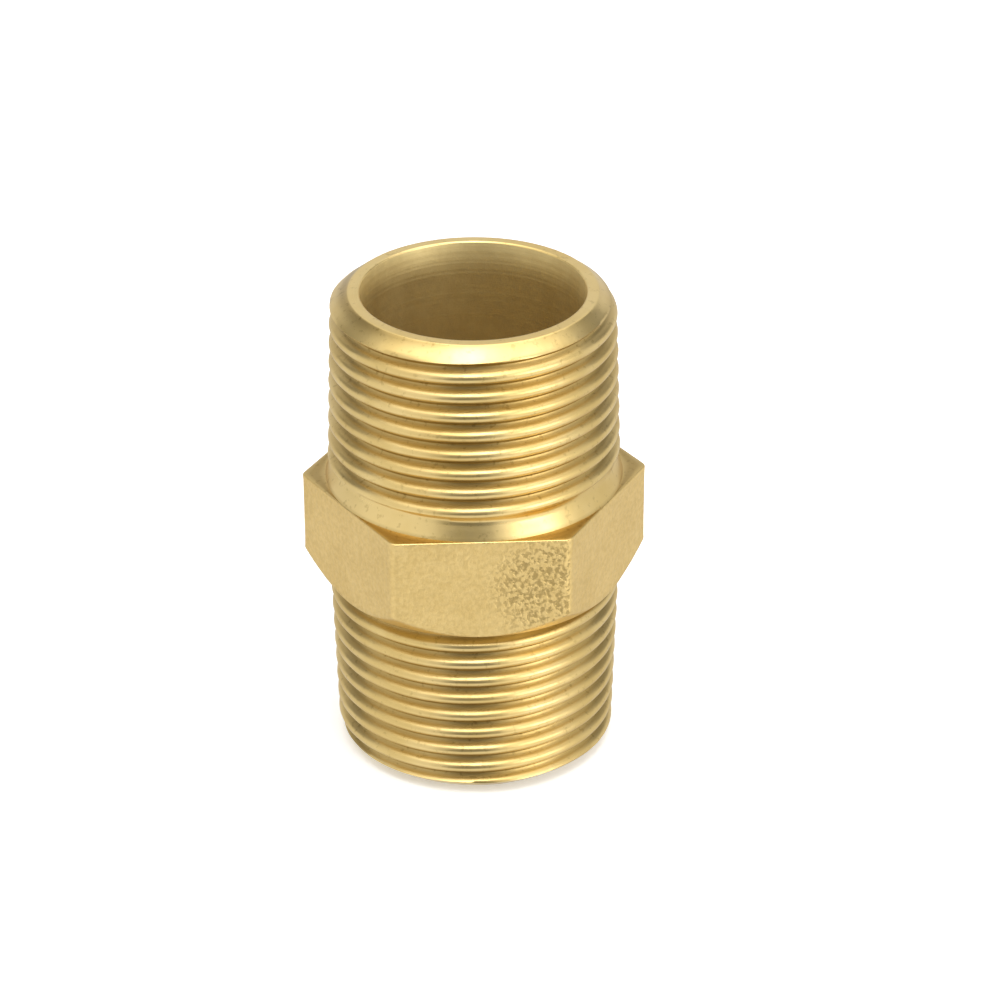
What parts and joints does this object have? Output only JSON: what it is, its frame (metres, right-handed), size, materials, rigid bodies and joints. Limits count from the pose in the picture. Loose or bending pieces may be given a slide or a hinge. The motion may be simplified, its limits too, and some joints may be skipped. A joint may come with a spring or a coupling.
{
  "type": "hex nipple",
  "caption": "Brass hex nipple: a short pipe fitting with a right-hand taper thread on each end, a spanner hexagon between them and a straight waterway.",
  "frame": {"origin": "centre of the lower end face, on the waterway's axis", "axes": "+Z along the waterway, up to the upper end face; -Y out of one flat of the hexagon; +X out of a corner of the hexagon"},
  "size_m": [0.0304, 0.0266, 0.044],
  "materials": {
    "brass": "yellow brass: threads, neck and end cones turned bright, flats of the hexagon left with a blasted, finely pitted skin, waterway duller"
  },
  "bodies": {
    "root": {"hex_nipple": "brass"}
  },
  "joints": []
}
